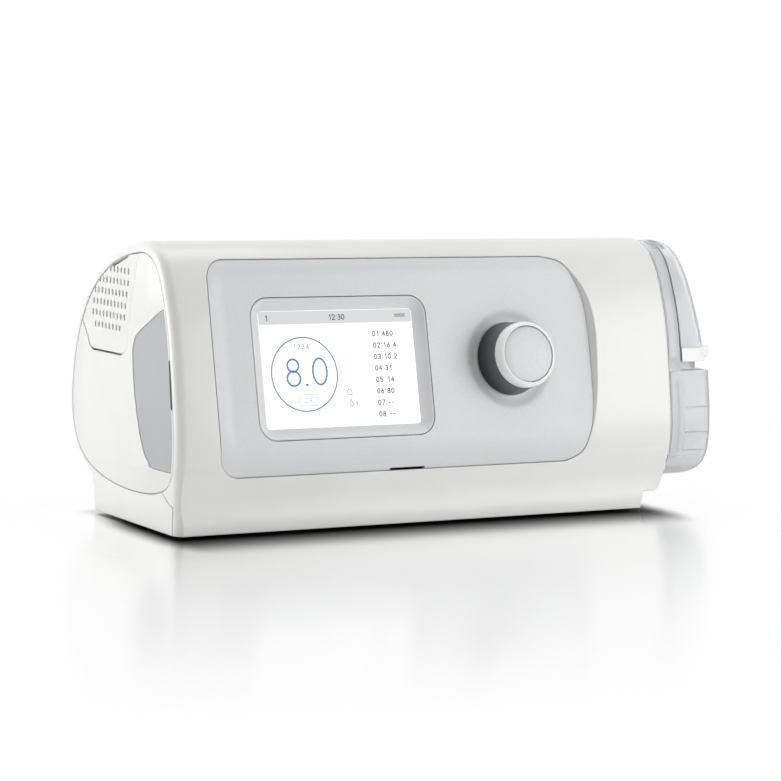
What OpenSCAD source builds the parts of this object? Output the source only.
// Bilevel PAP machine with a humidifier tank in its right end.
// Millimetres. X runs to the right, Y to the back, Z up from the table.

/* [Casing] */
// Length of the casing, from the left end face to the mouth for the tank
casing_l = 244.5; // [238:0.5:252]
// Height of the crown above the table
casing_h = 119; // [117:0.5:124]
// Depth of the casing from the swell of its front to its back
casing_d = 111; // [109:0.5:116]
// Wall of the casing mouldings
wall = 2.4; // [2:0.1:2.8]
// Round of the edge at the left end
left_round = 4.5; // [4:0.1:5]
// Round of the edge at the mouth
mouth_round = 2; // [1.5:0.1:2.5]
// Gap that shows between two mouldings
seam = 0.3; // [0.2:0.05:0.4]
// Height of the overhang beside the plinth
overhang_h = 8.3; // [7.5:0.1:9]
// Length of the overhang between the plinth and the mouth
overhang_l = 14.5; // [12:0.5:18]
// Depth of the plinth at the table
plinth_d = 79.5; // [78:0.5:84]
// Distance of the back seam between the two casings below the crown
back_seam_drop = 27; // [23:0.5:28]
// Height of the rubber feet below the floor
foot_h = 1; // [0.8:0.1:1.5]
// Radius of a foot
foot_r = 6; // [5:0.5:7]

/* [Control panel] */
// Lean of the display from the vertical
lean = 13.25; // [12.5:0.25:14]
// Distance of the display centre from the left end
display_x = 80; // [78:0.5:82]
// Height of the display centre
display_z = 66.9; // [66:0.1:68]
// Width of the lit area
display_w = 73.4; // [70:0.1:74]
// Height of the lit area
display_h = 49; // [46:0.1:50]
// Slope of the display bezel, measured along the panel
bezel_slope = 5.3; // [4.5:0.1:5.6]
// Depth of the display below the panel face
panel_rise = 3.4; // [3:0.1:3.8]
// Thickness of the panel
panel_t = 2.2; // [1.8:0.1:2.6]
// Left end of the panel, from the display centre
panel_left = 60.4; // [59:0.1:62]
// Right end of the panel, from the display centre
panel_right = 123.2; // [121:0.1:125]
// Lower end of the panel, below the display centre
panel_down = 43.9; // [43:0.1:44.5]
// Upper end of the panel, above the display centre
panel_up = 46.2; // [45.5:0.1:46.6]
// Height that the panel's two ends curl up
dish_rise = 2; // [1:0.1:2.5]
// Width of each curled end
dish_w = 14; // [10:0.5:16]

/* [Knob] */
// Distance of the knob from the display centre
knob_u = 82.4; // [80:0.1:84]
// Height of the knob above the display centre, along the panel
knob_v = 1.3; // [0:0.1:3]
// Radius of the knob at the panel
knob_base_r = 16; // [15:0.1:16.5]
// Radius of the knob's white ring
knob_ring_r = 14.3; // [13.5:0.1:14.6]
// Radius of the knob's cap
knob_cap_r = 12; // [11:0.1:12.2]
// Height of the cap above the display plane
knob_top = 19.2; // [18.5:0.1:21]
// Radius of the encoder shaft
shaft_r = 3; // [2.5:0.1:3.2]
// Travel of the knob when it is pressed
knob_travel = 0.6; // [0.4:0.1:0.8]
// Radius of the dimple round the knob
dimple_r = 21.5; // [20:0.1:22]
// Depth of the dimple
dimple_d = 1.4; // [1:0.1:1.5]

/* [Left end] */
// Thickness of the end cap
cap_t = 2.4; // [2.2:0.1:3]
// Thickness of the filter cover
cover_t = 2; // [1.6:0.1:2.1]
// Width of a vent slot
vent_w = 1.4; // [1:0.1:1.8]
// Height of a vent slot
vent_h = 3.2; // [2.6:0.1:3.6]
// Spacing of the vent slots along a row
vent_pitch = 3.5; // [3.3:0.1:3.6]
// Spacing of the vent rows
vent_row = 4.9; // [4.5:0.1:5]
// Thickness of the filter pad
pad_t = 6; // [4:0.5:6]
// Length of the card slot
slot_l = 20; // [18:0.5:25]
// Width of the card slot
slot_w = 2.2; // [2:0.1:2.6]

/* [Blower] */
// Outer radius of the blower housing
blower_r = 30.5; // [29:0.5:31]
// Height of each half of the blower housing
blower_half = 18; // [16:0.5:19]
// Wall of the blower housing
blower_wall = 2; // [1.5:0.1:2.5]
// Radius of the impeller
impeller_r = 24.5; // [22:0.5:25.5]
// Number of impeller blades
blades = 9; // [7:1:12]
// Radius of the blower's shaft
spindle_r = 2; // [1.5:0.1:2.5]
// Radius of the air intake eye
eye_r = 13; // [11:0.5:14]

/* [Air path] */
// Distance of the tank ports and of the air outlet below the crown
port_drop = 43; // [42:0.5:44]
// Depth position of the port that feeds the tank
feed_y = 40; // [38:0.5:42]
// Depth position of the port that leaves the tank
return_y = 72; // [70:0.5:72.5]
// Radius inside the ports
port_r = 8; // [7:0.5:9]
// Wall of the ports and of the outlet elbow
port_wall = 1.6; // [1.2:0.1:1.8]
// Outer radius of the air outlet, for a 22 mm hose cuff
outlet_r = 11; // [11:0.5:11]
// Length of the outlet outside the casing
outlet_l = 20; // [18:0.5:24]
// Distance of the outlet from the tank bay
outlet_gap = 18; // [16:0.5:20]
// Length of the dry side, from the left end to the tank bay
dry_l = 146; // [145.5:0.5:150]

/* [Humidifier] */
// Length of the tank's part that shows
tank_out = 23.8; // [22:0.1:26]
// Wall of the tank
tank_t = 1.8; // [1.5:0.1:2.2]
// Step from the casing's section to the tank's section
tank_step = 1; // [0.6:0.1:1.5]
// Round of the tank's outer edge
tank_round = 5; // [4:0.5:6]
// Distance of the chamber's rim below the middle of the tank ports
rim_drop = 14.8; // [13.5:0.1:17]
// Height of the gap between the chamber and the cover
cover_gap = 4.2; // [3.5:0.1:5]
// Width of the collar beside the casing
collar_w = 6.2; // [5.5:0.1:7]
// Lean of the cover's end face
cover_lean = 6.5; // [4:0.5:7]
// Clearance round the tank in its bay
bay_gap = 0.5; // [0.4:0.1:0.8]
// Wall of the tank bay
bay_t = 1.5; // [1.2:0.1:1.8]
// Thickness of the heater plate
heater_t = 2; // [1.5:0.1:2.5]
// Travel of the sprung heater plate
heater_travel = 1; // [0.5:0.1:1.5]
// Radius of the cover's hinge pin
hinge_r = 0.9; // [0.7:0.1:1]

/* [Hidden] */
$fn = 64;

// The casing's section from its lower front over the crown to its belly: shares of its depth and height
SECTION = [[0.0775, 0.1286], [0.0216, 0.1832], [0.0045, 0.2395], [0, 0.3067], [0.0063, 0.3908],
    [0.0279, 0.5294], [0.0595, 0.6891], [0.1009, 0.8067], [0.1486, 0.9017], [0.2117, 0.9681],
    [0.2973, 0.9992], [0.4054, 0.9958], [0.5405, 0.9689], [0.6757, 0.9176], [0.8063, 0.8336],
    [0.9099, 0.7143], [0.9775, 0.5588], [1, 0.4034], [0.9775, 0.2815], [0.9099, 0.1933], [0.7928, 0.1303],
    [0.6216, 0.0941], [0.4144, 0.0807], [0.2072, 0.0924]];
// The front of the skirt between the belly and the table: depth behind the swell, height
SKIRT = [[0.7, 0], [0.7, 5], [1.3, 10.5], [1.6, 16], [1.2, 22], [0.5, 28.5]];
// The panel's bulged right end, as shares of its reach to the right and of its height
PANEL_END = [[0.84, 1], [0.92, 0.97], [0.964, 0.88], [0.99, 0.78], [1, 0.63], [1, 0.43], [0.996, 0.285],
    [0.98, 0.14], [0.95, 0.042], [0.882, 0]];
// Edges of the filter cover on the end face: depth, height above the crown
COVER_EDGE = [[28, 0], [30.5, -6.5], [36.3, -25], [39.7, -41.5], [41.5, -46], [45.5, -48.4], [74, -48.7],
    [78, -47.2], [80.5, -43], [89, -34.5], [130, -19], [60, 31], [28, 31]];
// Edges of the card inset on the end face: depth, height
INSET_EDGE = [[-20, 100], [5.6, 92.4], [17.7, 86.8], [30.1, 80.4], [33.3, 76.6], [34.3, 71], [32.2, 56.8],
    [27.7, 42.6], [22.5, 32.8], [17.5, 28.4], [12.6, 26.3], [-20, 27.1]];
// Vent rows, from the top: first slot's depth and number of slots
VENTS = [[39.4, 6], [39.6, 9], [40.9, 10], [42.1, 10], [42.8, 10], [47.2, 8]];

front_y = -11;
eps = 0.01;
part_y = -6.2;
back_seam_z = casing_h - back_seam_drop;
port_z = casing_h - port_drop;
chamber_z = port_z - rim_drop;
outlet_y = front_y + casing_d - 1;

plinth_l = casing_l - overhang_l;
plinth_front = front_y + SKIRT[0][0];
plinth_back = plinth_front + plinth_d;
floor_z = foot_h + wall;
rim_land = 0.1;
cap_inset = left_round + rim_land + seam;

panel_outer = panel_rise;
panel_inner = panel_rise - panel_t;
dimple_floor = panel_rise - dimple_d;
board_front = -8;
board_t = 1.6;
window_t = 1.4;
module_t = 3.4;
module_w = display_w + 6.6;
module_h = display_h + 7;
bezel_w = display_w + 2 * bezel_slope;
bezel_h = display_h + 2 * bezel_slope;
bezel_r = 8;
knob_gap = knob_travel + 0.2;
knob_low = dimple_floor + knob_gap;
knob_deck = knob_top - 5;
shaft_end = -6.6;

door_hinge_x = 1.3;
door_hinge_z = casing_h - 47.2;
door_pin_r = 1.1;
door_pin_y0 = 47;
door_pin_y1 = 72;
vent_top = casing_h - 13.3;

bay_clear = 0.3;
bay_outer = wall + bay_clear;
bay_inner = bay_outer + bay_t;
tank_inset = bay_inner + bay_gap;
bay_front = 24;
bay_top = casing_h - 18;
bay_left = dry_l;
bay_right = casing_l - 1;
outlet_x = bay_left - outlet_gap;
seal_l = 3;
tank_left = bay_left + bay_t + seal_l;
tank_x = casing_l + seam;
tank_right = casing_l + tank_out;
collar_right = tank_x + collar_w;
cover_left = collar_right + 1.2;
cover_low = chamber_z + cover_gap;
tank_low = 15.5;
tank_foot = 12.6;
lid_low = chamber_z + seam;
lid_top = bay_top - bay_t - 1;
deck_inset = 5.5;
heater_x0 = bay_left + 12;
heater_x1 = plinth_l - wall - 1.6;
heater_y0 = bay_front + 4;
heater_y1 = heater_y0 + 28;
heater_top = tank_low - seam;
heater_low = heater_top - heater_t;
tray_top = floor_z + 1.6;
spring_r = 3.4;
hinge_x = collar_right + 0.6;
barrel_r = hinge_r + 0.8;
hinge_z = casing_h - tank_step - barrel_r - 0.9;
hinge_y = 29;
hinge_w = 18;
latch_y0 = -3;
latch_y1 = 9;
latch_z0 = cover_low + 1.2;
latch_z1 = latch_z0 + 5.6;
latch_x = tank_right - 1.1;
latch_travel = 1.5;

duct_end = bay_left - 40;
duct_w = 24;
blower_x = duct_end - 36;
// A wider blower sits lower, under the slope of the back, and clear of the control board
blower_z = port_z - 1.8 * (blower_r - 30.5);
blower_low = blower_z - blower_half;
blower_high = blower_z + blower_half;
board_clear = 1.25;
board_back = (board_t - board_front) / cos(lean);
blower_y = (blower_high - display_z) * tan(lean) + board_back + board_clear + blower_r;
duct_y0 = blower_y - blower_r + blower_wall;
duct_y1 = blower_y - blower_r + duct_w - blower_wall;
muffler_top = blower_low - 8;
muffler_low = 22;
intake_x = blower_x - blower_r - 3.5;
intake_y0 = 44;
intake_y1 = 76;
muffler_y0 = 26;
muffler_y1 = 82;
box_t = 1.8;

// The origin lies on the table, under the middle of the whole machine
total_l = tank_right + 1;
ring_w = knob_ring_r - knob_cap_r - seam;
knob_front_y = -((knob_top - 2.4 + 2.2 * sin(75)) * cos(lean)
    + (knob_cap_r + seam + ring_w * cos(75) - knob_v) * sin(lean));
mid_x = total_l / 2;
mid_y = (knob_front_y + outlet_y + outlet_l) / 2;

// Smooth curve through four neighbours
function curve_at(a, b, c, d, t) =
    0.5 * (2 * b + (c - a) * t + (2 * a - 5 * b + 4 * c - d) * t * t + (3 * b - a - 3 * c + d) * t * t * t);
function closed_curve(p, n) = let (k = len(p))
    [for (i = [0:k - 1], s = [0:n - 1])
        curve_at(p[(i + k - 1) % k], p[i], p[(i + 1) % k], p[(i + 2) % k], s / n)];
function open_curve(p, n) = let (k = len(p) - 1)
    [for (i = [0:k - 1], s = [0:n - (i < k - 1 ? 1 : 0)])
        curve_at(p[max(i - 1, 0)], p[i], p[i + 1], p[min(i + 2, k)], s / n)];
function arc(cx, cy, r, a0, a1, n) =
    [for (i = [0:n]) let (a = a0 + (a1 - a0) * i / n) [cx + r * cos(a), cy + r * sin(a)]];

module along_x(x0, x1) translate([x0, 0, 0]) rotate([90, 0, 90]) linear_extrude(x1 - x0) children();
module along_y(y0, y1) translate([0, y1, 0]) rotate([90, 0, 0]) linear_extrude(y1 - y0) children();
module along_z(z0, z1) translate([0, 0, z0]) linear_extrude(z1 - z0) children();
module box(x0, x1, y0, y1, z0, z1) translate([x0, y0, z0]) cube([x1 - x0, y1 - y0, z1 - z0]);
module rod_x(x0, x1, y, z, r) translate([x0, y, z]) rotate([0, 90, 0]) cylinder(h = x1 - x0, r = r);
module rod_y(y0, y1, x, z, r) translate([x, y0, z]) rotate([-90, 0, 0]) cylinder(h = y1 - y0, r = r);
module placed() translate([-mid_x, -mid_y, 0]) children();

// Panel frame: x along the panel, y up its slope, z out of the display plane
module on_panel() translate([display_x, 0, display_z]) rotate([90 - lean, 0, 0]) children();
module at_knob() on_panel() translate([knob_u, knob_v, 0]) children();

module round_rect(w, h, r) {
    square([w - 2 * r, h], center = true);
    square([w, h - 2 * r], center = true);
    for (sx = [-1, 1], sy = [-1, 1]) translate([sx * (w / 2 - r), sy * (h / 2 - r)]) circle(r);
}

module section() polygon(closed_curve(
    [for (p = SECTION) [front_y + p[0] * casing_d, p[1] * casing_h]], 3));
module inset_section(d) offset(delta = -d) section();

// Bar with the casing's section and rounded ends
module round_bar(x0, x1, r0, r1, d) hull() {
    along_x(x0 + r0, x1 - r1) inset_section(d);
    for (a = [0, 30, 60]) let (s = 1 - sin(a), c = 1 - cos(a)) {
        along_x(x0 + r0 * c, x0 + r0 * c + eps) inset_section(d + r0 * s);
        along_x(x1 - r1 * c - eps, x1 - r1 * c) inset_section(d + r1 * s);
    }
}

module skirt_section(d) offset(delta = -d) polygon(concat(
    [for (p = open_curve(SKIRT, 2)) [front_y + p[0], p[1]]],
    [[front_y + 6, 36], [front_y + 70, 34], [plinth_back + 4.5, 22], [plinth_back + 2.8, 13.5],
        [plinth_back, 0]]));

// The casing seen from the front: the plinth, the overhang beside it and the cut-back lower lip of the mouth
module front_outline() polygon([[0, foot_h], [plinth_l - 1, foot_h], [plinth_l + 0.4, overhang_h],
    [casing_l - 8, overhang_h], [casing_l - 5.8, overhang_h + 1.5], [casing_l, overhang_h + 14.2],
    [casing_l, casing_h + 5], [0, casing_h + 5]]);
module plan_outline() translate([casing_l / 2, front_y + 60]) round_rect(casing_l, 120, 6);

module casing_solid() intersection() {
    union() {
        round_bar(0, casing_l, left_round, mouth_round, 0);
        intersection() {
            along_x(0, casing_l) skirt_section(0);
            along_z(0, 60) plan_outline();
        }
    }
    along_y(-60, 140) front_outline();
}

module casing_hollow() {
    along_x(left_round + 2, casing_l + 5) inset_section(wall);
    along_x(-5, left_round + 3) inset_section(left_round + rim_land);
    intersection() {
        along_x(wall, plinth_l - wall) skirt_section(wall);
        along_z(floor_z, 60) translate([casing_l / 2, plinth_front + 60])
            round_rect(casing_l - 2 * wall, 115, 4);
    }
}

module casing_shell() difference() {
    casing_solid();
    casing_hollow();
}

// Side view of the front casing's share: the front, the crown and the upper back
module front_share(g) offset(delta = -g) polygon([[-60, -5], [part_y, -5], [part_y, 12.8], [-3.4, 13.2],
    [1, 15.5], [4.8, 18.5], [6, 24], [6, back_seam_z], [140, back_seam_z], [140, 160], [-60, 160]]);

panel_h = panel_up + panel_down;
panel_r = 8.5;
panel_points = concat(
    arc(-panel_left + panel_r, panel_up - panel_r, panel_r, 180, 90, 6),
    open_curve([for (p = PANEL_END) [p[0] * panel_right, -panel_down + p[1] * panel_h]], 2),
    arc(-panel_left + panel_r, -panel_down + panel_r, panel_r, 270, 180, 6));
module panel_outline(g) offset(delta = g) polygon(panel_points);

// Opening for the panel, with the bevelled band above the panel face
module panel_opening() on_panel() {
    translate([0, 0, -12]) linear_extrude(12 + panel_rise) panel_outline(seam);
    hull() {
        translate([0, 0, panel_rise - 0.4]) linear_extrude(eps) panel_outline(seam - 0.15);
        translate([0, 0, panel_rise + 6]) linear_extrude(2) panel_outline(seam + 3);
    }
}

module front_casing() color("whitesmoke") placed() difference() {
    union() {
        intersection() {
            casing_shell();
            along_x(-1, casing_l + 1) front_share(seam / 2);
        }
        for (p = SCREWS) if (p[1] < 10) translate([p[0], p[1], floor_z]) {
            cylinder(h = boss_h, r = 3.6);
            translate([-1.2, -9, 0.4]) cube([2.4, 7, boss_h - 0.4]);
        }
    }
    panel_opening();
    card_slot(1, cap_t + 15.3, 1.3);
    for (p = SCREWS) translate([p[0], p[1], floor_z - 1]) cylinder(h = boss_h, r = screw_r + 0.05);
}

module base_casing() color("white") placed() difference() {
    casing_shell();
    along_x(-2, casing_l + 2) front_share(-seam / 2);
    rod_y(outlet_y - back_reach, outlet_y + back_reach, outlet_x, port_z, outlet_r + seam);
    rod_y(inlet_back - back_reach, inlet_back + back_reach, inlet_x, inlet_z, inlet_r + seam);
    for (p = FEET) translate([p[0], p[1], 0]) cylinder(h = foot_h + 0.8, r = foot_r + 0.1);
    for (p = SCREWS) translate([p[0], p[1], 0]) {
        cylinder(h = foot_h + 1.2, r = screw_head_r + 0.3);
        cylinder(h = floor_z + 1, r = screw_r + 0.3);
    }
}

FEET = [[14, 2], [14, 56], [plinth_l - 14, 2], [plinth_l - 14, 56]];
leg_r = 4;
MUFFLER_LEGS = [for (x = [intake_x + 8, duct_end - 8], y = [muffler_y0 + 8, muffler_y0 + 36]) [x, y]];
SCREWS = [[26, 0], [plinth_l - 26, 0], MUFFLER_LEGS[1], MUFFLER_LEGS[3]];
screw_r = 1.5;
screw_head_r = 2.8;
boss_h = 12;
inlet_x = duct_end - 2;
inlet_z = 45;
inlet_r = 4.2;
plug_r = 2.8;
inlet_back = front_y + casing_d;
back_reach = 19;

module rubber_feet() color("dimgray") placed() for (p = FEET) translate([p[0], p[1], 0])
    cylinder(h = foot_h + 0.8, r1 = foot_r - 0.4, r2 = foot_r);

module base_screws() color("silver") placed() for (p = SCREWS) translate([p[0], p[1], foot_h]) {
    difference() {
        cylinder(h = 1.2, r = screw_head_r);
        translate([0, 0, -0.1]) cylinder(h = 0.8, r = 1.2, $fn = 6);
    }
    cylinder(h = boss_h, r = screw_r);
}

module cover_edge(g) intersection() {
    offset(delta = g) translate([0, casing_h]) polygon(COVER_EDGE);
    inset_section(cap_inset - min(g, 0));
}
module inset_edge(g) intersection() {
    offset(delta = g) polygon(INSET_EDGE);
    inset_section(cap_inset + 1.3 - g);
}
grip_l = 16.6;
grip_w = 2.6;
slot_tilt = 7.6;
module card_slot(x0, x1, g) along_x(x0, x1) translate([-2.1, 62.2]) rotate(-slot_tilt)
    square([slot_w + 2 * g, slot_l + 2 * g], center = true);

ledge = 3.2;
tray_d = 12;
module left_end_cap() color("white") placed() difference() {
    union() {
        difference() {
            along_x(0, cap_t) inset_section(cap_inset);
            along_x(-1, cap_t + 1) cover_edge(seam);
            along_x(-1, 0.9) inset_edge(seam / 2);
            along_x(-1, cap_t + 1) intersection() {
                translate([door_pin_y0 - 1, door_hinge_z - 2.8]) square([door_pin_y1 - door_pin_y0 + 2, 3]);
                inset_section(cap_inset);
            }
        }
        along_x(cap_t - 0.2, cap_t + 1.4) difference() {
            cover_edge(2);
            cover_edge(-ledge);
        }
        along_x(cap_t + 1, tray_d) difference() {
            cover_edge(-ledge + 1.6);
            cover_edge(-ledge);
        }
        along_x(tray_d - 1.4, tray_d) intersection() {
            cover_edge(-ledge + 1);
            for (y = [34:8:90]) translate([y, door_hinge_z - 12]) square([1.6, 60]);
        }
        along_x(cap_t - 0.2, left_round + 1.5) difference() {
            inset_section(cap_inset + 0.1);
            inset_section(cap_inset + 1.7);
            translate([-20, 20]) square([45, 80]);
            translate([24, door_hinge_z - 3.8]) square([100, 60]);
        }
    }
    // Groove for the cover's lower edge, which swings under its pin
    rod_y(COVER_EDGE[4][0] - seam, COVER_EDGE[7][0] + 0.8 + seam, door_hinge_x, door_hinge_z,
        door_pin_r + 0.4);
    rod_y(COVER_EDGE[5][0] - 1, COVER_EDGE[6][0] + 2.5, door_hinge_x, door_hinge_z, door_pin_r + 0.9);
    card_slot(-1, cap_t + 1, 0.2);
}

module card_inset() color("darkgray") placed() difference() {
    along_x(0.3, 0.9) inset_edge(0);
    card_slot(-1, 2, 0);
}

module card_reader() color("dimgray") placed() difference() {
    card_slot(cap_t, cap_t + 15, 1);
    card_slot(cap_t - 1, cap_t + 14, 0);
}

// Outline of one vent slot, with round ends
vent_r = vent_w / 2;
vent_slot = concat(arc(0, vent_h / 2 - vent_r, vent_r, 0, 180, 4),
    arc(0, vent_r - vent_h / 2, vent_r, 180, 360, 4));
module filter_cover() color("whitesmoke") placed() {
    difference() {
        along_x(0.2, 0.2 + cover_t) cover_edge(-0.05);
        for (r = [0:len(VENTS) - 1], k = [0:VENTS[r][1] - 1])
            along_x(-1, cover_t + 1)
                translate([VENTS[r][0] + k * vent_pitch + vent_w / 2, vent_top - r * vent_row])
                    polygon(vent_slot);
        along_x(-1, cover_t + 1) translate([48.6, casing_h - 8.8]) rotate(-19)
            square([grip_l, grip_w], center = true);
    }
    rod_y(door_pin_y0, door_pin_y1, door_hinge_x, door_hinge_z, door_pin_r);
}

module filter_pad() color("lightsteelblue") placed()
    along_x(cap_t + 1.8, cap_t + 1.8 + pad_t) cover_edge(-ledge - 0.3);

// Passage from the intake box to the muffler box
module passage_hole() box(intake_x - 6, intake_x + 4, intake_y0 + 4, intake_y1 - 4,
    muffler_low + 5, muffler_top - 4);

module intake_box() color("gainsboro") placed() difference() {
    box(tray_d + seam, intake_x, intake_y0, intake_y1, muffler_low, port_z + 20);
    box(tray_d + seam + box_t, intake_x - box_t, intake_y0 + box_t, intake_y1 - box_t, muffler_low + box_t,
        port_z + 20 - box_t);
    box(tray_d, tray_d + 6, intake_y0 + 4, intake_y1 - 4, port_z, port_z + 17);
    passage_hole();
}

module muffler_box() color("gainsboro") placed() difference() {
    union() {
        box(intake_x, duct_end, muffler_y0, muffler_y1, muffler_low, muffler_top);
        for (p = MUFFLER_LEGS) translate([p[0], p[1], floor_z])
            cylinder(h = muffler_low - floor_z + 1, r = leg_r);
    }
    box(intake_x + box_t, duct_end - box_t, muffler_y0 + box_t, muffler_y1 - box_t, muffler_low + box_t,
        muffler_top - box_t);
    for (p = SCREWS) translate([p[0], p[1], floor_z - 1]) cylinder(h = boss_h, r = screw_r + 0.05);
    passage_hole();
    translate([blower_x, blower_y, muffler_top - 5]) cylinder(h = 10, r = eye_r + blower_wall + seam);
}

MOUNTS = [[-17, -16], [17, -16], [-17, 16], [17, 16]];
module blower_mounts() color("dimgray") placed() for (p = MOUNTS)
    translate([blower_x + p[0], blower_y + p[1], muffler_top]) cylinder(h = 8, r = 5);

module blower_outline(d) {
    translate([blower_x, blower_y]) circle(blower_r - d);
    translate([blower_x, blower_y - blower_r + d]) square([duct_end - blower_x, duct_w - 2 * d]);
}

module blower_base() color("lightgray") placed() difference() {
    union() {
        along_z(blower_low, blower_z) blower_outline(0);
        translate([blower_x, blower_y, muffler_top - 1]) cylinder(h = 10, r = eye_r + blower_wall);
    }
    along_z(blower_low + blower_wall, blower_z + 1) blower_outline(blower_wall);
    box(duct_end - 5, duct_end + 5, duct_y0, duct_y1, blower_low + blower_wall, blower_z + 1);
    translate([blower_x, blower_y, muffler_top - 2]) cylinder(h = 14, r = eye_r);
}

module blower_lid() color("lightgray") placed() difference() {
    along_z(blower_z, blower_high) blower_outline(0);
    along_z(blower_z - 1, blower_high - blower_wall) blower_outline(blower_wall);
    box(duct_end - 5, duct_end + 5, duct_y0, duct_y1, blower_z - 1, blower_high - blower_wall);
    translate([blower_x, blower_y, blower_high - 5]) cylinder(h = 10, r = spindle_r + 2);
}

motor_h = 11;
motor_r = 15;
module blower_motor() color("slategray") placed() translate([blower_x, blower_y, blower_high]) difference() {
    union() {
        cylinder(h = motor_h, r = motor_r);
        cylinder(h = 2, r = motor_r + 4);
    }
    translate([0, 0, -1]) cylinder(h = motor_h - 1, r = spindle_r + 0.05);
}

spindle_low = blower_z - 10;
module motor_shaft() color("silver") placed() translate([blower_x, blower_y, spindle_low])
    cylinder(h = blower_high + motor_h - 3 - spindle_low, r = spindle_r);

module blade() intersection() {
    translate([impeller_r * 0.48, 0]) difference() {
        circle(impeller_r * 0.48);
        circle(impeller_r * 0.48 - 1.2);
    }
    translate([0, 1]) square([impeller_r, impeller_r]);
}
module impeller() color("ivory") placed() translate([blower_x, blower_y, spindle_low]) difference() {
    union() {
        cylinder(h = 1.5, r = impeller_r);
        translate([0, 0, 1.5]) cylinder(h = 8, r1 = 7, r2 = 5);
        translate([0, 0, 1.4]) linear_extrude(9) difference() {
            for (k = [1:blades]) rotate(k * 360 / blades) blade();
            circle(9);
        }
    }
    translate([0, 0, -1]) cylinder(h = 20, r = spindle_r + 0.02);
}

module air_duct() color("gainsboro") placed() difference() {
    union() {
        box(duct_end, duct_end + 4, blower_y - blower_r, feed_y + port_r + port_wall + 1, blower_low,
            blower_high);
        rod_x(duct_end + 2, bay_left, feed_y, port_z, port_r + port_wall);
    }
    box(duct_end - 1, duct_end + 2, duct_y0, duct_y1, blower_low + blower_wall, blower_high - blower_wall);
    rod_x(duct_end + 1, bay_left + 1, feed_y, port_z, port_r);
}

module port_seals() color("dimgray") placed() for (y = [feed_y, return_y]) difference() {
    rod_x(bay_left + bay_t, tank_left - seam, y, port_z, port_r + 2.4);
    rod_x(bay_left, tank_left + 1, y, port_z, port_r);
}

outlet_relief = 0.6;
module outlet_elbow() color("gainsboro") placed() difference() {
    union() {
        rod_x(outlet_x, bay_left, return_y, port_z, port_r + port_wall);
        translate([outlet_x, return_y, port_z]) sphere(port_r + port_wall);
        rod_y(return_y, outlet_y, outlet_x, port_z, port_r + port_wall);
        rod_y(outlet_y - 14, outlet_y, outlet_x, port_z, outlet_r - outlet_relief);
        rod_y(outlet_y, outlet_y + outlet_l, outlet_x, port_z, outlet_r);
    }
    rod_x(outlet_x, bay_left + 1, return_y, port_z, port_r);
    translate([outlet_x, return_y, port_z]) sphere(port_r);
    rod_y(return_y, outlet_y, outlet_x, port_z, port_r);
    rod_y(outlet_y - 12, outlet_y + outlet_l + 1, outlet_x, port_z, outlet_r - port_wall);
}

BOARD_POSTS = [[32, 28], [78, 28], [32, 56]];
board_gap = 3.6;
module main_board() color("darkgreen") placed() difference() {
    union() {
        box(bay_left - board_gap - board_t, bay_left - board_gap, 28, 82, 24, 60);
        box(bay_left - board_gap - 4.6, bay_left - board_gap, 34, 46, 32, 44);
        box(bay_left - board_gap - 9.6, bay_left - board_gap, 58, 70, 28, 40);
        rod_x(bay_left - board_gap - 11.6, bay_left - board_gap, 75, 50, 4);
    }
    for (p = BOARD_POSTS) rod_x(bay_left - 8, bay_left, p[0], p[1], 1.5);
}

module dc_inlet() color("black") placed() difference() {
    union() {
        box(inlet_x - 7, inlet_x + 7, inlet_back - 16, inlet_back - 4, inlet_z - 6, inlet_z + 6);
        rod_y(inlet_back - 5, inlet_back - 0.2, inlet_x, inlet_z, inlet_r);
    }
    difference() {
        rod_y(inlet_back - 11, inlet_back + 1, inlet_x, inlet_z, plug_r);
        rod_y(inlet_back - 12, inlet_back - 1, inlet_x, inlet_z, 1);
    }
}

module half_space(y0, z0, z1) translate([y0, z0]) square([2 * casing_d, z1 - z0]);

module tank_bay() color("lightgray") placed() difference() {
    union() {
        along_x(bay_left, bay_right) intersection() {
            inset_section(bay_outer);
            half_space(bay_front, 0, bay_top);
        }
        along_x(bay_right - bay_t, bay_right) inset_section(bay_outer);
        for (p = BOARD_POSTS) rod_x(bay_left - board_gap, bay_left + 1, p[0], p[1], 2.5);
    }
    along_x(bay_left + bay_t, bay_right + 1) intersection() {
        inset_section(bay_inner);
        half_space(bay_front + bay_t, 0, bay_top - bay_t);
    }
    for (y = [feed_y, return_y]) rod_x(bay_left - 1, bay_left + 3, y, port_z, port_r);
    box(heater_x0 - 1, heater_x1 + 1, heater_y0 - 1, heater_y1 + 1, 0, 30);
    for (p = BOARD_POSTS) rod_x(bay_left - 5, bay_left + 1, p[0], p[1], 1);
}

module heater_tray() color("tan") placed() difference() {
    box(heater_x0, heater_x1, heater_y0, heater_y1, floor_z, tray_top);
    for (p = SPRINGS) translate([p[0], p[1], tray_top - 0.6]) cylinder(h = 2, r = spring_r + 0.3);
}

SPRINGS = [[heater_x0 + 8, heater_y0 + 7], [heater_x1 - 8, heater_y0 + 7], [heater_x0 + 8, heater_y1 - 7],
    [heater_x1 - 8, heater_y1 - 7]];
module heater_springs() color("silver") placed() for (p = SPRINGS)
    translate([p[0], p[1], tray_top - 0.6]) difference() {
        cylinder(h = heater_low - tray_top + 0.6, r = spring_r);
        translate([0, 0, -1]) cylinder(h = 20, r = spring_r - 0.8);
    }

module heater_plate() color("silver") placed()
    translate([(heater_x0 + heater_x1) / 2, (heater_y0 + heater_y1) / 2, heater_low]) linear_extrude(heater_t)
        round_rect(heater_x1 - heater_x0, heater_y1 - heater_y0, 4);

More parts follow.
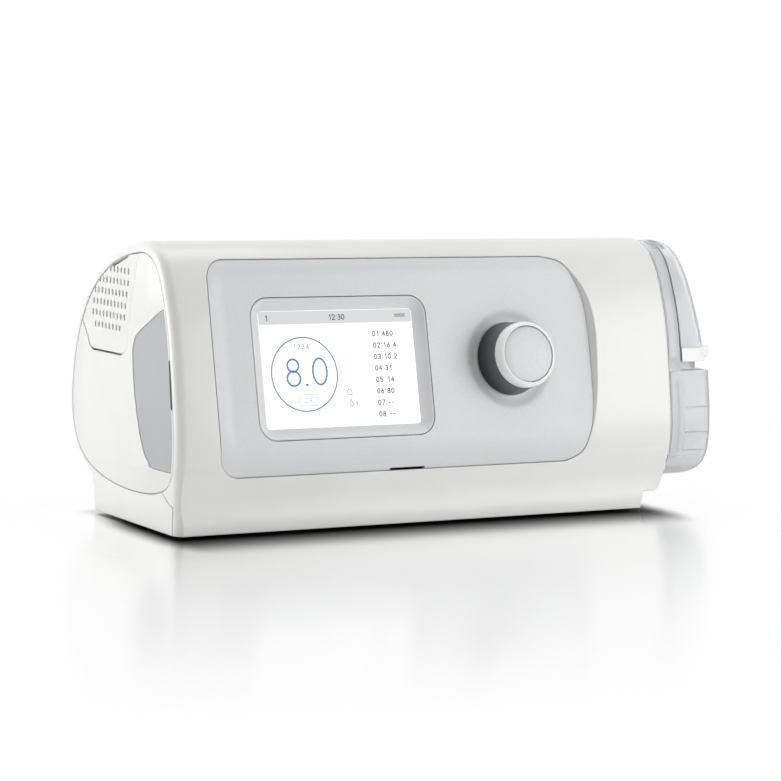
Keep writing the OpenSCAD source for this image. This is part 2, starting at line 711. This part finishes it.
// Section of the tank's hidden part, and of the part that shows
module hidden_section(d, z0, z1) intersection() {
    inset_section(tank_inset + d);
    half_space(bay_front + bay_t + bay_gap + d, z0, z1);
}
module shown_section(d, z0, z1) intersection() {
    inset_section(tank_step + d);
    translate([-casing_d, z0]) square([3 * casing_d, z1 - z0]);
}
// Rounded end of the part that shows
module shown_block(x0, x1, d, z0, z1, r) hull() {
    along_x(x0, x1 - r) shown_section(d, z0, z1);
    for (a = [0, 30, 60]) along_x(x1 - r * (1 - cos(a)) - eps, x1 - r * (1 - cos(a)))
        shown_section(d + r * (1 - sin(a)), z0 + r * (1 - sin(a)), z1);
}

module tank_chamber() color("lightblue", 0.4) placed() difference() {
    union() {
        along_x(tank_left, tank_x + 1) hidden_section(0, tank_low, chamber_z);
        shown_block(tank_x, tank_right, 0, tank_foot, chamber_z, tank_round);
    }
    along_x(tank_left + tank_t, tank_x + tank_t + 1) hidden_section(tank_t, tank_low + 2, chamber_z + 1);
    shown_block(tank_x + tank_t, tank_right - tank_t, tank_t, tank_foot + tank_t, chamber_z + 1,
        tank_round - tank_t);
    box(plate_x0 + 3, plate_x1 - 3, plate_y0 + 3, plate_y1 - 3, 0, 30);
    box(plate_x0, plate_x1, plate_y0, plate_y1, 0, tank_low + 0.8);
}

plate_x0 = heater_x0 + 2;
plate_x1 = heater_x1 - 2;
plate_y0 = heater_y0 + 2;
plate_y1 = heater_y1 - 2;
module tank_base_plate() color("silver") placed() box(plate_x0, plate_x1, plate_y0, plate_y1, tank_low,
    tank_low + 0.8);

module tank_lid() color("lightblue", 0.4) placed() difference() {
    union() {
        along_x(tank_left, tank_x + 1) hidden_section(0, lid_low, lid_top);
        along_x(tank_x, collar_right) shown_section(0, lid_low, casing_h);
        along_x(tank_x, tank_right - deck_inset) shown_section(deck_inset, lid_low, cover_low);
        along_x(collar_right - 2, collar_right) hinge_web(0.5);
        for (s = [-1, 1]) hinge_knuckle(hinge_y + s * hinge_w / 3, hinge_w / 3 - seam);
    }
    along_x(tank_left + tank_t, tank_x + tank_t + 1) hidden_section(tank_t, lid_low - 1, lid_top - tank_t);
    along_x(tank_x + tank_t, collar_right + 1) shown_section(tank_t, cover_low + 2, casing_h);
    along_x(tank_x + tank_t, tank_right - deck_inset - tank_t)
        shown_section(deck_inset + tank_t, 0, casing_h);
    for (y = [feed_y, return_y]) rod_x(tank_left - 1, tank_left + 3, y, port_z, port_r);
    rod_y(hinge_y - hinge_w, hinge_y + hinge_w, hinge_x, hinge_z, hinge_r + 0.02);
    rod_y(hinge_y - hinge_w / 6 - seam / 2, hinge_y + hinge_w / 6 + seam / 2, hinge_x, hinge_z,
        barrel_r + seam);
}
module hinge_web(d) intersection() {
    shown_section(d, cover_low, casing_h);
    translate([hinge_y - hinge_w / 2 - 4, hinge_z - barrel_r - 2.6]) square([hinge_w + 8, 20]);
}
module hinge_knuckle(y, w) rod_y(y - w / 2, y + w / 2, hinge_x, hinge_z, barrel_r);

module tank_seal() color("black") placed() difference() {
    along_x(collar_right, cover_left - seam) {
        difference() {
            shown_section(0.3, cover_low + 0.5, casing_h);
            shown_section(tank_t, 0, casing_h);
        }
        hinge_web(0.5);
    }
    box(collar_right - 1, cover_left, hinge_y - hinge_w / 2 - 1, hinge_y + hinge_w / 2 + 1,
        hinge_z - barrel_r - 0.6, casing_h);
}

// The cover's solid: upright at its left edge, leaning in at its end face
module cover_block(x0, x1, d, z0, z1, r) hull() {
    along_x(x0, x1 - r - 6) shown_section(d, z0, z1);
    translate([x1, 0, z0]) rotate([0, -cover_lean, 0]) translate([-x1, 0, -z0])
        for (a = [0, 30, 60]) along_x(x1 - r * (1 - cos(a)) - eps, x1 - r * (1 - cos(a)))
            shown_section(d + r * (1 - sin(a)), z0, z1 - 3);
}

module tank_cover() color("lightblue", 0.4) placed() difference() {
    union() {
        difference() {
            cover_block(cover_left, latch_x - 0.4, 0, cover_low, casing_h, tank_round);
            cover_block(cover_left - 1, latch_x - 0.4 - tank_t, tank_t, cover_low - 1, casing_h - tank_t,
                tank_round - tank_t);
            box(cover_left - 1, hinge_x + 3.4, -20, 80, hinge_z - 0.7, casing_h);
        }
        hinge_knuckle(hinge_y, hinge_w / 3 - seam);
        box(hinge_x, hinge_x + 6.4, hinge_y - hinge_w / 6 + seam / 2, hinge_y + hinge_w / 6 - seam / 2,
            hinge_z - barrel_r, hinge_z);
        box(hinge_x + 3.6, hinge_x + 6.4, hinge_y - hinge_w / 6 + seam / 2, hinge_y + hinge_w / 6 - seam / 2,
            hinge_z - barrel_r, hinge_z + 2);
    }
    rod_y(hinge_y - hinge_w, hinge_y + hinge_w, hinge_x, hinge_z, hinge_r + 0.05);
    box(latch_x - 8, latch_x + 4, latch_y0 - 0.3, latch_y1 + 0.3, latch_z0 - 0.3, latch_z1 + 0.3);
}

module cover_hinge_pin() color("silver") placed()
    rod_y(hinge_y - hinge_w / 2 + 0.5, hinge_y + hinge_w / 2 - 0.5, hinge_x, hinge_z, hinge_r);

module tank_latch() color("white") placed() {
    box(latch_x - 5.2, tank_right + 1, latch_y0, latch_y1, latch_z0, latch_z1);
    box(latch_x - 5.2, latch_x - 3.7, latch_y0 + 3, latch_y1 + 2, latch_z0, latch_z1 + 1);
}

module bezel_frustum() hull() {
    translate([0, 0, panel_rise]) linear_extrude(1)
        round_rect(bezel_w - 1, bezel_h - 1, bezel_r - 0.5, $fn = 32);
    translate([0, 0, 0.05]) linear_extrude(eps) round_rect(display_w + 0.8, display_h + 0.8, 1.5, $fn = 32);
}
module display_bezel() color("silver") placed() on_panel() difference() {
    translate([0, 0, -window_t]) linear_extrude(window_t + panel_rise - 0.1)
        round_rect(bezel_w, bezel_h, bezel_r);
    bezel_frustum();
    translate([0, 0, -window_t - 1]) linear_extrude(5) round_rect(display_w + 0.8, display_h + 0.8, 1.5);
}

module display_window() color("white") placed() on_panel() translate([0, 0, -window_t])
    linear_extrude(window_t) round_rect(display_w + 0.4, display_h + 0.4, 1.3);

module display_module() color("dimgray") placed() on_panel() {
    translate([0, 0, -window_t - module_t]) linear_extrude(module_t) square([module_w, module_h],
        center = true);
    for (sx = [-1, 1], sy = [-1, 1])
        translate([sx * (module_w / 2 - 4), sy * (module_h / 2 - 4), board_front])
            cylinder(h = -window_t - module_t - board_front + 0.1, r = 2);
}

board_w = 148;
board_h = 62;
module control_board() color("darkgreen") placed() on_panel() translate([0, 0, board_front - board_t])
    linear_extrude(board_t) translate([-46, -32]) square([board_w, board_h]);

// The panel's face: the casing's curve, kept under a flat that curls up at both ends
dish_steps = 6;
function dish(s) = dish_rise * s * s;
dish_points = concat(
    [for (i = [0:dish_steps]) let (s = 1 - i / dish_steps) [-panel_left - 1 + dish_w * (1 - s), dish(s)]],
    [for (i = [0:dish_steps]) let (s = i / dish_steps) [panel_right + 1 - dish_w * (1 - s), dish(s)]]);
module panel_slab(g) intersection() {
    on_panel() translate([0, 0, -14]) linear_extrude(30) panel_outline(g);
    on_panel() translate([0, 70, 0]) rotate([90, 0, 0]) linear_extrude(140) translate([0, panel_rise])
        polygon(concat(dish_points, [[panel_right + 8, dish_rise], [panel_right + 8, -17],
            [-panel_left - 8, -17], [-panel_left - 8, dish_rise]]));
    along_x(0, casing_l) inset_section(seam);
}
module panel_shift() translate([0, panel_t * cos(lean), -panel_t * sin(lean)]) children();

module front_panel() color("silver") placed() difference() {
    union() {
        difference() {
            panel_slab(0);
            panel_shift() panel_slab(3);
        }
        at_knob() translate([0, 0, panel_inner - 2]) cylinder(h = 2.2, r = dimple_r + 1.5);
        on_panel() for (p = PANEL_POSTS) translate([p[0], p[1], board_front])
            cylinder(h = panel_inner - board_front + 0.2, r = 2.5);
    }
    on_panel() translate([0, 0, -5]) linear_extrude(20) round_rect(bezel_w + 2 * seam, bezel_h + 2 * seam,
        bezel_r + seam);
    at_knob() translate([0, 0, dimple_floor]) cylinder(h = dimple_d + eps, r1 = dimple_r - 2, r2 = dimple_r);
    at_knob() translate([0, 0, dimple_floor]) cylinder(h = 20, r = dimple_r - 2);
    at_knob() translate([0, 0, -10]) cylinder(h = 30, r = encoder_bush_r + 0.2);
    on_panel() translate([20, -panel_down - 1, panel_rise - 1]) cube([17, 1.9, 6]);
}
PANEL_POSTS = [[58, 22], [58, -24], [100, 24], [98, -26]];

encoder_bush_r = 4.6;
rotor_r = 5.6;
rotor_top = -3.4;
rotor_low = -6.4;
module encoder_body() color("dimgray") placed() at_knob() difference() {
    union() {
        translate([-7.5, -7.5, board_front]) cube([15, 15, -board_front + panel_inner - 2 - seam]);
        cylinder(h = dimple_floor, r = encoder_bush_r);
        translate([0, 0, panel_inner - 3]) cylinder(h = 2, r = encoder_bush_r);
    }
    translate([0, 0, rotor_low]) cylinder(h = rotor_top - rotor_low, r = rotor_r);
    translate([0, 0, rotor_top - 1]) cylinder(h = 20, r = shaft_r + 0.08);
    translate([0, 0, shaft_end - knob_travel - 0.2]) cylinder(h = 3, r = shaft_r + 0.3);
}

module encoder_rotor() color("gold") placed() at_knob() translate([0, 0, rotor_low + 0.15]) difference() {
    cylinder(h = rotor_top - rotor_low - 0.3, r = rotor_r - 0.08);
    translate([0, 0, -1]) cylinder(h = 10, r = shaft_r + 0.05);
}

module knob_shaft() color("silver") placed() at_knob() translate([0, 0, shaft_end])
    cylinder(h = knob_deck - 1 - shaft_end, r = shaft_r);

module knob_body() color("dimgray") placed() at_knob() difference() {
    translate([0, 0, knob_low]) cylinder(h = knob_deck - knob_low, r1 = knob_base_r, r2 = knob_ring_r);
    difference() {
        translate([0, 0, knob_low - 1]) cylinder(h = knob_deck - knob_low - 1, r1 = knob_base_r - 1.8,
            r2 = knob_ring_r - 2);
        cylinder(h = 30, r = shaft_r + 2.2);
    }
    translate([0, 0, knob_low - 1]) cylinder(h = 2.6, r = encoder_bush_r + 1);
    translate([0, 0, -5]) cylinder(h = 5 + knob_deck - 0.8, r = shaft_r + 0.02);
}

module knob_ring() color("white") placed() at_knob() rotate_extrude() polygon(concat(
    [[knob_cap_r + seam, knob_deck], [knob_ring_r, knob_deck]],
    [for (a = [0:15:90]) [knob_cap_r + seam + ring_w * cos(a), knob_top - 2.4 + 2.2 * sin(a)]]));

module knob_cap() color("lightgray") placed() at_knob() rotate_extrude() polygon(
    [[0, knob_deck], [knob_cap_r, knob_deck], [knob_cap_r, knob_top - 0.6],
        [knob_cap_r - 0.4, knob_top - 0.3], [knob_cap_r * 0.5, knob_top - 0.05], [0, knob_top]]);

front_casing();
base_casing();
left_end_cap();
card_inset();
card_reader();
front_panel();
display_bezel();
display_window();
display_module();
control_board();
encoder_body();
encoder_rotor();
knob_shaft();
knob_body();
knob_ring();
knob_cap();
filter_cover();
filter_pad();
intake_box();
muffler_box();
blower_mounts();
blower_base();
blower_lid();
blower_motor();
motor_shaft();
impeller();
air_duct();
port_seals();
outlet_elbow();
main_board();
dc_inlet();
tank_bay();
heater_tray();
heater_springs();
heater_plate();
tank_chamber();
tank_base_plate();
tank_lid();
tank_seal();
tank_cover();
cover_hinge_pin();
tank_latch();
rubber_feet();
base_screws();
